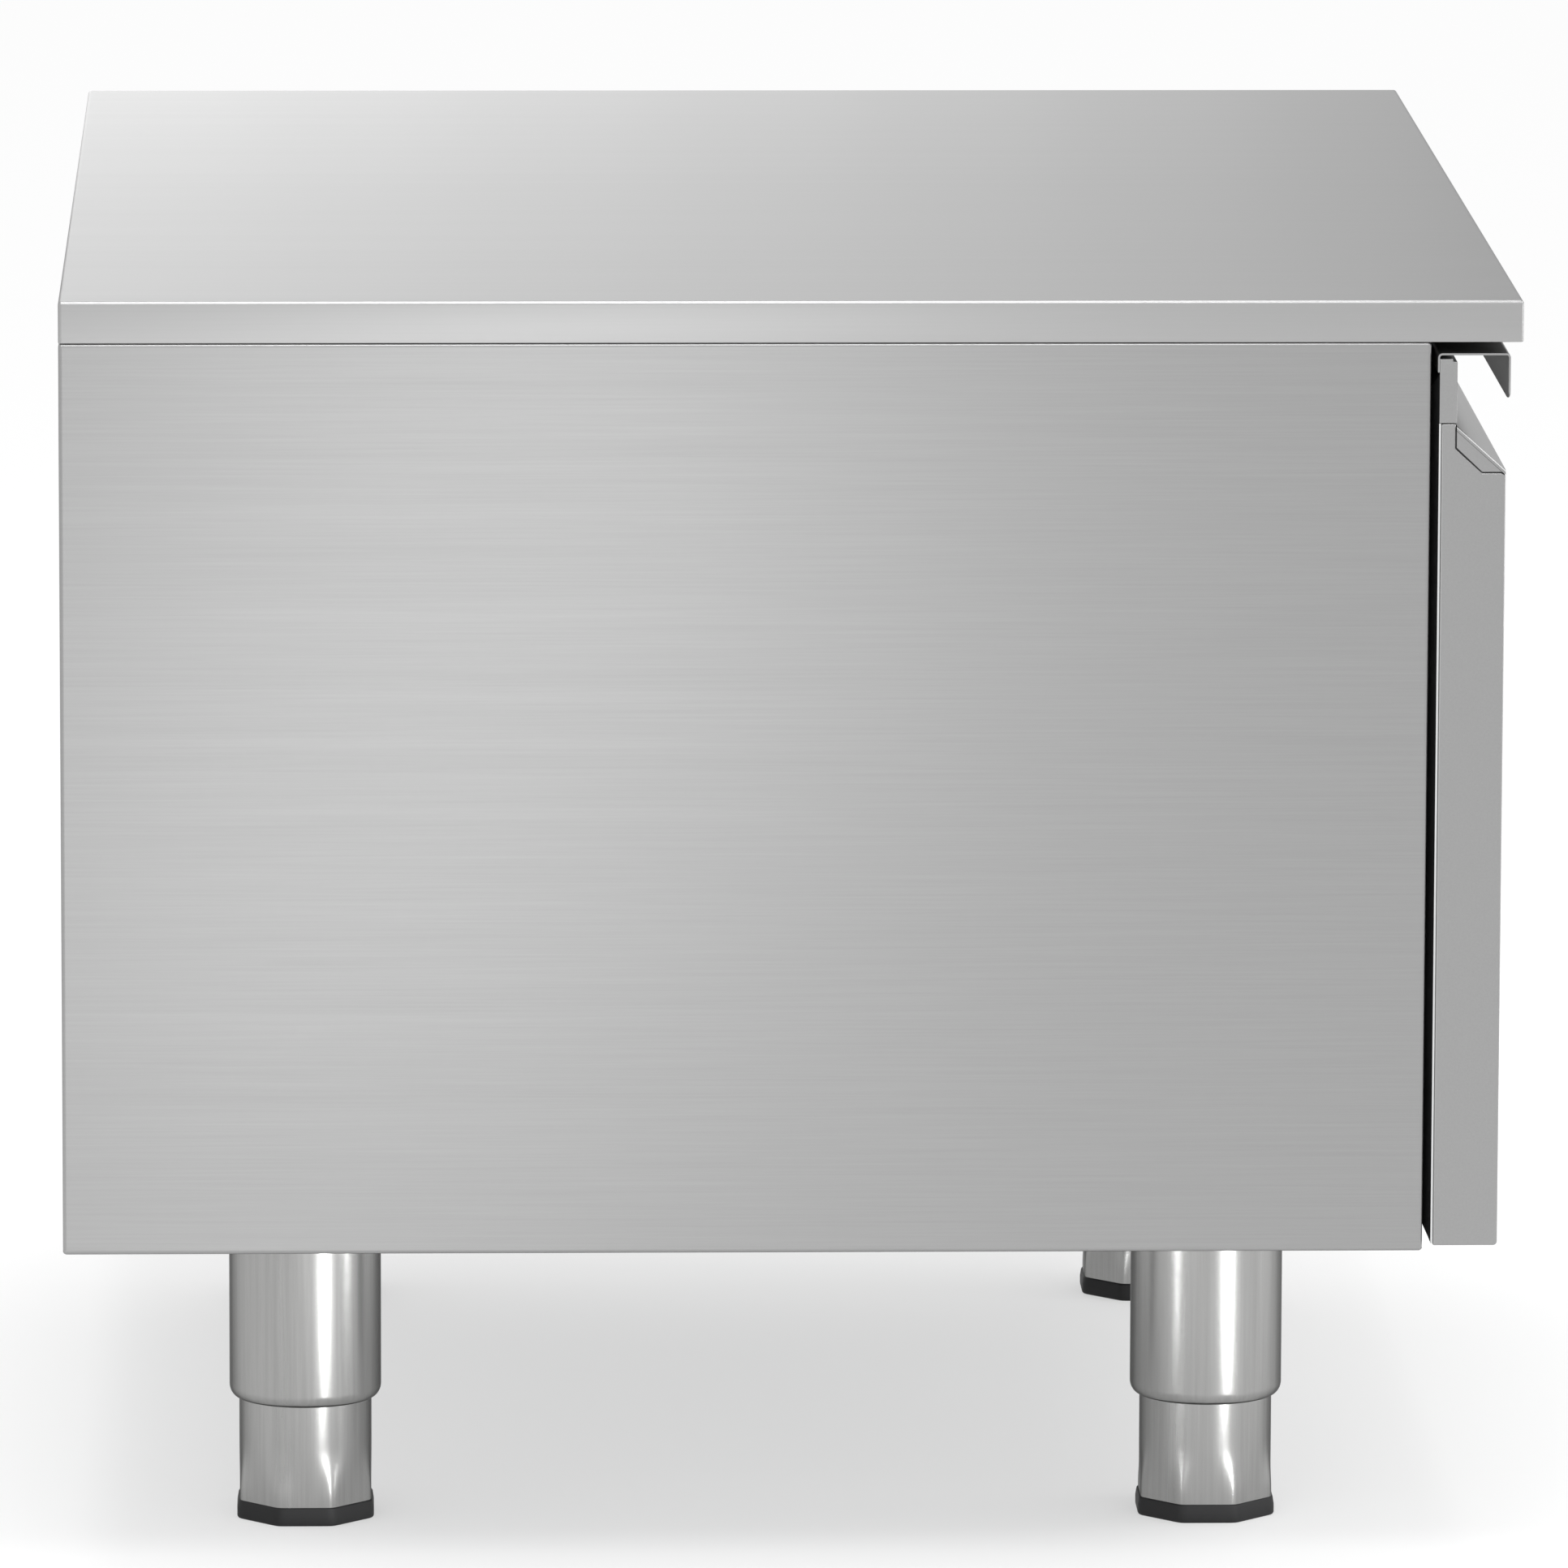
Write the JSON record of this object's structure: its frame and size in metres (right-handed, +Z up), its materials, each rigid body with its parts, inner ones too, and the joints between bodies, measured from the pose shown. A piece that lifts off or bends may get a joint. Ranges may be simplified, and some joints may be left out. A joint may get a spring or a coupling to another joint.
{
  "type": "undercounter refrigerator",
  "caption": "Low stainless undercounter refrigerator: side-hinged insulated door with a full-width grip, flat worktop, side machine bay and fat levelling legs.",
  "frame": {"origin": "on the floor, under the middle of the worktop's rectangle", "axes": "+Z up, the door faces -Y, +X to the right of someone who faces the door"},
  "size_m": [0.914, 0.762, 0.679],
  "materials": {
    "stainless": "brushed stainless steel",
    "liner": "smooth stainless steel",
    "galvanised": "galvanised sheet",
    "leg_steel": "satin stainless steel",
    "zinc_steel": "zinc plated",
    "foam": "rigid foam",
    "board": "raw board",
    "black_rubber": "matt",
    "gasket": "soft, matt",
    "black_plastic": "matt",
    "grey_plastic": "matt",
    "white_nylon": "satin",
    "button_plastic": "satin",
    "display_window": "smoked, glossy",
    "chrome_wire": "bright plated wire",
    "zinc_screw": "bright",
    "aluminium": "mill finish",
    "copper": "bare copper",
    "black_enamel": "semi gloss enamel"
  },
  "bodies": {
    "cabinet": {"worktop_skin": "stainless", "worktop_core": "board", "left_side_panel": "stainless", "right_side_panel": "stainless", "rear_panel": "galvanised", "base_panel": "galvanised", "divider_panel": "galvanised", "cabinet_foam": "foam", "inner_liner": "liner", "front_frame": "stainless", "shelf_pilasters": "stainless", "shelf_clips": "zinc_steel", "wire_shelf": "chrome_wire", "evaporator_coil": "aluminium", "evaporator_cover": "stainless", "evaporator_fan_motor": "galvanised", "drip_tray": "aluminium", "drain_tube": "grey_plastic", "compressor_shell": "black_enamel", "compressor_mounts": "black_rubber", "relay_box": "black_plastic", "condenser_coil": "aluminium", "condenser_shroud": "galvanised", "condenser_fan_motor": "black_enamel", "filter_drier": "copper", "discharge_pipe": "copper", "capillary_tube": "copper", "suction_pipe": "copper", "condensate_pan": "galvanised", "front_grille": "stainless", "controller_body": "black_plastic", "controller_display": "display_window", "power_inlet": "black_plastic", "panel_screws": "zinc_screw", "hinge_brackets": "zinc_steel", "leg_sleeves": "leg_steel", "leg_bolts": "zinc_steel"},
    "door": {"door_pan": "stainless", "door_foam": "foam", "door_inner_panel": "liner", "door_gasket": "gasket", "door_upper_rail": "stainless", "door_slope_rail": "stainless", "door_handle_channel": "stainless", "door_end_caps": "grey_plastic", "door_hinge_blocks": "black_plastic", "door_bushings": "white_nylon"},
    "evaporator_fan": {"evaporator_fan_blade": "black_plastic"},
    "condenser_fan": {"condenser_fan_blade": "aluminium"},
    "set_button": {"button_set": "button_plastic"},
    "down_button": {"button_down": "button_plastic"},
    "up_button": {"button_up": "button_plastic"},
    "leg_front_left": {"lower_leg_front_left": "leg_steel", "foot_cap_front_left": "black_rubber"},
    "leg_front_right": {"lower_leg_front_right": "leg_steel", "foot_cap_front_right": "black_rubber"},
    "leg_rear_left": {"lower_leg_rear_left": "leg_steel", "foot_cap_rear_left": "black_rubber"},
    "leg_rear_right": {"lower_leg_rear_right": "leg_steel", "foot_cap_rear_right": "black_rubber"}
  },
  "joints": [
    {"name": "door_hinge", "type": "hinge", "parent": "cabinet", "child": "door", "pos_m": [0.154, -0.3635, 0.4145], "axis": [0, 0, 1], "range_deg": [0, 105]},
    {"name": "evaporator_fan_spin", "type": "hinge", "parent": "cabinet", "child": "evaporator_fan", "pos_m": [-0.14275, 0.239, 0.511], "axis": [0, 1, 0], "continuous": true},
    {"name": "condenser_fan_spin", "type": "hinge", "parent": "cabinet", "child": "condenser_fan", "pos_m": [0.30975, -0.218, 0.3202], "axis": [0, 1, 0], "continuous": true},
    {"name": "set_button_press", "type": "slide", "parent": "cabinet", "child": "set_button", "axis": [0, 1, 0], "range_m": [0, 0.001], "stiffness_N_per_m": 900, "springref_m": -0.0008},
    {"name": "down_button_press", "type": "slide", "parent": "cabinet", "child": "down_button", "axis": [0, 1, 0], "range_m": [0, 0.001], "stiffness_N_per_m": 900, "springref_m": -0.0008},
    {"name": "up_button_press", "type": "slide", "parent": "cabinet", "child": "up_button", "axis": [0, 1, 0], "range_m": [0, 0.001], "stiffness_N_per_m": 900, "springref_m": -0.0008},
    {"name": "leg_level_front_left", "type": "slide", "parent": "cabinet", "child": "leg_front_left", "axis": [0, 0, -1], "range_m": [-0.018, 0.018]},
    {"name": "leg_level_front_right", "type": "slide", "parent": "cabinet", "child": "leg_front_right", "axis": [0, 0, -1], "range_m": [-0.018, 0.018]},
    {"name": "leg_level_rear_left", "type": "slide", "parent": "cabinet", "child": "leg_rear_left", "axis": [0, 0, -1], "range_m": [-0.018, 0.018]},
    {"name": "leg_level_rear_right", "type": "slide", "parent": "cabinet", "child": "leg_rear_right", "axis": [0, 0, -1], "range_m": [-0.018, 0.018]}
  ]
}
